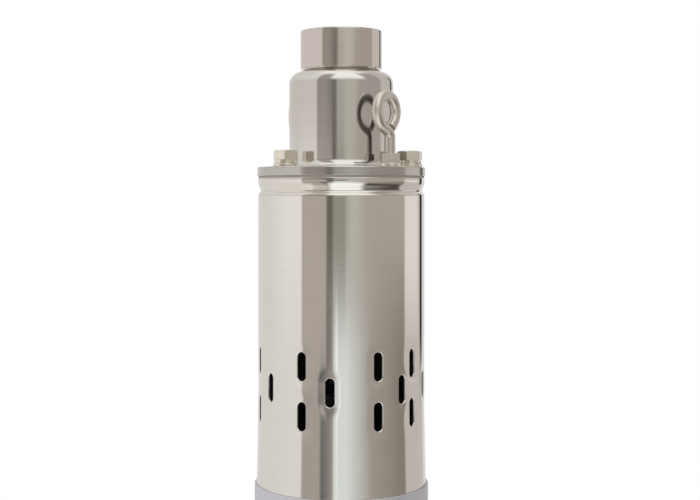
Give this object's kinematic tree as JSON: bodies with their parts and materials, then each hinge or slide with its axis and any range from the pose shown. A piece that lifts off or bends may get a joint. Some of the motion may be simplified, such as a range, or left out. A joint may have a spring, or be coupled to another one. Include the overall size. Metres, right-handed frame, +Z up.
{
  "type": "borehole submersible pump",
  "caption": "Slim stainless borehole screw pump with a threaded outlet socket, bolted bell head, rope eyes, slotted intake tube and a sealed submersible motor below.",
  "frame": {"origin": "centre of the flat base of the bottom cap", "axes": "+Z up along the shaft towards the outlet; +X towards the front eye bolt"},
  "size_m": [0.1, 0.1, 0.5898],
  "materials": {
    "polished_tube": "polished stainless with fine turning marks round the tube",
    "satin_head": "satin turned stainless",
    "plated_bolts": "faintly yellow plated steel",
    "bent_rod": "matt grainy stainless rod",
    "grey_casting": "satin grey",
    "gland_steel": "turned stainless",
    "inner_steel": "turned steel",
    "screw_chrome": "hard chrome",
    "bearing_steel": "ground",
    "cage_brass": "pressed",
    "fibre_sheet": "brown rubber-bonded fibre sheet",
    "black_rubber": "matt",
    "seal_carbon": "lapped carbon",
    "seal_ceramic": "lapped ceramic",
    "core_iron": "varnished sheet stack",
    "cage_aluminium": "cast",
    "copper_winding": "varnished copper wire"
  },
  "bodies": {
    "pump_body": {"pump_tube": "polished_tube", "motor_tube": "polished_tube", "discharge_head": "satin_head", "outlet_socket": "satin_head", "head_bolts": "plated_bolts", "bolt_spring_washers": "plated_bolts", "bolt_flat_washers": "plated_bolts", "eye_bolt_washers": "plated_bolts", "oil_plug": "plated_bolts", "cap_screws": "plated_bolts", "eye_bolt_front": "bent_rod", "eye_bolt_rear": "bent_rod", "eye_bolt_nuts": "bent_rod", "motor_top_flange": "grey_casting", "bottom_cap": "grey_casting", "lower_bearing_housing": "grey_casting", "gland_nut": "gland_steel", "tapped_ring": "inner_steel", "stator_tube": "inner_steel", "upper_bearing_outer": "bearing_steel", "lower_bearing_outer": "bearing_steel", "head_gasket": "fibre_sheet", "stator_rubber": "black_rubber", "seal_seat_ring": "black_rubber", "gland_grommet": "black_rubber", "upper_o_ring": "black_rubber", "lower_o_ring": "black_rubber", "diaphragm": "black_rubber", "seal_seat": "seal_ceramic", "stator_core": "core_iron", "winding_upper": "copper_winding", "winding_lower": "copper_winding"},
    "motor_shaft": {"motor_shaft": "inner_steel", "rotor_core": "core_iron", "rotor_end_rings": "cage_aluminium", "upper_bearing_inner": "bearing_steel", "lower_bearing_inner": "bearing_steel", "seal_face": "seal_carbon", "seal_bellows": "black_rubber", "seal_spring": "inner_steel", "sand_slinger": "black_rubber", "shaft_cup": "inner_steel", "lower_joint_pin": "inner_steel"},
    "joint_boots": {"upper_joint_boot": "black_rubber", "lower_joint_boot": "black_rubber"},
    "drive_rod": {"drive_rod": "inner_steel"},
    "screw_rotor": {"screw_rotor": "screw_chrome", "rotor_cup": "inner_steel", "upper_joint_pin": "inner_steel"},
    "upper_ball_set": {"upper_bearing_balls": "bearing_steel", "upper_bearing_cage": "cage_brass"},
    "lower_ball_set": {"lower_bearing_balls": "bearing_steel", "lower_bearing_cage": "cage_brass"}
  },
  "joints": [
    {"name": "motor_spin", "type": "hinge", "parent": "pump_body", "child": "motor_shaft", "pos_m": [0, 0, 0.3], "axis": [0, 0, 1], "continuous": true},
    {"name": "boots_orbit", "type": "hinge", "parent": "pump_body", "child": "joint_boots", "pos_m": [0, 0, 0.383], "axis": [0, 0, 1], "continuous": true},
    {"name": "rod_spin", "type": "hinge", "parent": "joint_boots", "child": "drive_rod", "pos_m": [0, 0, 0.362], "axis": [0.0948, 0, 0.9955], "continuous": true},
    {"name": "screw_spin", "type": "hinge", "parent": "joint_boots", "child": "screw_rotor", "pos_m": [0.004, 0, 0.404], "axis": [0, 0, 1], "continuous": true},
    {"name": "upper_balls_orbit", "type": "hinge", "parent": "pump_body", "child": "upper_ball_set", "pos_m": [0, 0, 0.2735], "axis": [0, 0, 1], "continuous": true},
    {"name": "lower_balls_orbit", "type": "hinge", "parent": "pump_body", "child": "lower_ball_set", "pos_m": [0, 0, 0.0495], "axis": [0, 0, 1], "continuous": true}
  ],
  "couplings": [
    {"joint": "boots_orbit", "follows": "motor_spin", "ratio": -1},
    {"joint": "rod_spin", "follows": "motor_spin", "ratio": 2},
    {"joint": "screw_spin", "follows": "motor_spin", "ratio": 2},
    {"joint": "upper_balls_orbit", "follows": "motor_spin", "ratio": 0.38},
    {"joint": "lower_balls_orbit", "follows": "motor_spin", "ratio": 0.38}
  ]
}
